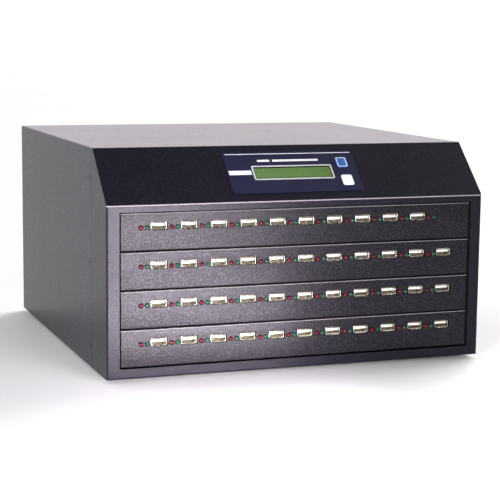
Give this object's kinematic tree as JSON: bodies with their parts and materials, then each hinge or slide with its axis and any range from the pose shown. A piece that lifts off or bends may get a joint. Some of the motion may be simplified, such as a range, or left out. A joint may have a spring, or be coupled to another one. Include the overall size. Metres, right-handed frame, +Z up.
{
  "type": "drive duplicator",
  "caption": "Desktop USB drive duplicator: folded steel case with sloping display and keys, stacked port panels with paired lamps, rear fan, power supply, inlet and switch.",
  "frame": {"origin": "on the desk, under the middle of the case", "axes": "+Z up, +X to the right seen from the front, the port panels look along -Y"},
  "size_m": [0.332, 0.3341, 0.1854],
  "materials": {
    "case_paint": "fine-textured black powder coat, satin",
    "panel_paint": "fine-textured black powder coat, satin",
    "zinc_steel": "zinc-plated sheet, satin",
    "nickel": "nickel-plated, semi-bright",
    "pale_plastic": "satin",
    "board_green": "solder mask, semi-gloss",
    "brass": "satin",
    "lamp_red": "tinted lens, glossy",
    "lamp_green": "tinted lens, glossy",
    "label_film": "fine-grained polyester film, satin",
    "clear_window": "clear, glossy",
    "display_metal": "satin",
    "display_green": "display glass, glossy",
    "key_blue": "satin",
    "key_white": "satin",
    "black_plastic": "moulded, satin",
    "rotor_plastic": "moulded, satin",
    "ribbon_grey": "ribbed, satin",
    "lead_bundle": "bundled leads, satin",
    "black_screw": "black-plated",
    "rubber": "matt"
  },
  "bodies": {
    "housing": {"board_chips": "black_plastic", "board_headers": "black_plastic", "case_fan_frame": "black_plastic", "chassis_tray": "case_paint", "control_label": "label_film", "cover_back_screws": "black_screw", "cover_side_screws": "black_screw", "display_board": "board_green", "display_frame": "display_metal", "display_glass": "display_green", "display_posts": "brass", "display_ribbon": "ribbon_grey", "display_window": "clear_window", "fan_screws": "black_screw", "feet": "rubber", "front_bezel": "case_paint", "green_lamps": "lamp_green", "inlet_pins": "brass", "key_board": "board_green", "key_switches": "black_plastic", "left_rail": "case_paint", "main_board": "board_green", "main_board_posts": "brass", "port_board_1": "board_green", "port_board_2": "board_green", "port_board_3": "board_green", "port_board_4": "board_green", "port_board_posts": "brass", "port_panel_1": "panel_paint", "port_panel_2": "panel_paint", "port_panel_3": "panel_paint", "port_panel_4": "panel_paint", "power_harness": "lead_bundle", "power_inlet": "black_plastic", "red_lamps": "lamp_red", "ribbon_cables": "ribbon_grey", "right_rail": "case_paint", "supply_case": "zinc_steel", "supply_fan_frame": "black_plastic", "supply_screws": "zinc_steel", "switch_frame": "black_plastic", "top_cover": "case_paint", "usb_cores_row_1": "pale_plastic", "usb_cores_row_2": "pale_plastic", "usb_cores_row_3": "pale_plastic", "usb_cores_row_4": "pale_plastic", "usb_shells_row_1": "nickel", "usb_shells_row_2": "nickel", "usb_shells_row_3": "nickel", "usb_shells_row_4": "nickel"},
    "set_key": {"set_button": "key_blue"},
    "scroll_key": {"scroll_button": "key_white"},
    "rocker": {"power_rocker": "black_plastic"},
    "case_rotor": {"case_fan_rotor": "rotor_plastic"},
    "supply_rotor": {"supply_fan_rotor": "rotor_plastic"}
  },
  "joints": [
    {"name": "set_press", "type": "slide", "parent": "housing", "child": "set_key", "axis": [0, 0.6898, -0.724], "range_m": [0, 0.0006], "stiffness_N_per_m": 800},
    {"name": "scroll_press", "type": "slide", "parent": "housing", "child": "scroll_key", "axis": [0, 0.6898, -0.724], "range_m": [0, 0.0006], "stiffness_N_per_m": 800},
    {"name": "rocker_tilt", "type": "hinge", "parent": "housing", "child": "rocker", "pos_m": [0.126, 0.1632, 0.0674], "axis": [1, 0, 0], "range_deg": [-20, 0]},
    {"name": "case_fan_spin", "type": "hinge", "parent": "housing", "child": "case_rotor", "pos_m": [-0.092, 0.151, 0.095], "axis": [0, 1, 0], "continuous": true},
    {"name": "supply_fan_spin", "type": "hinge", "parent": "housing", "child": "supply_rotor", "pos_m": [0.06, 0.15, 0.0484], "axis": [0, 1, 0], "continuous": true}
  ]
}
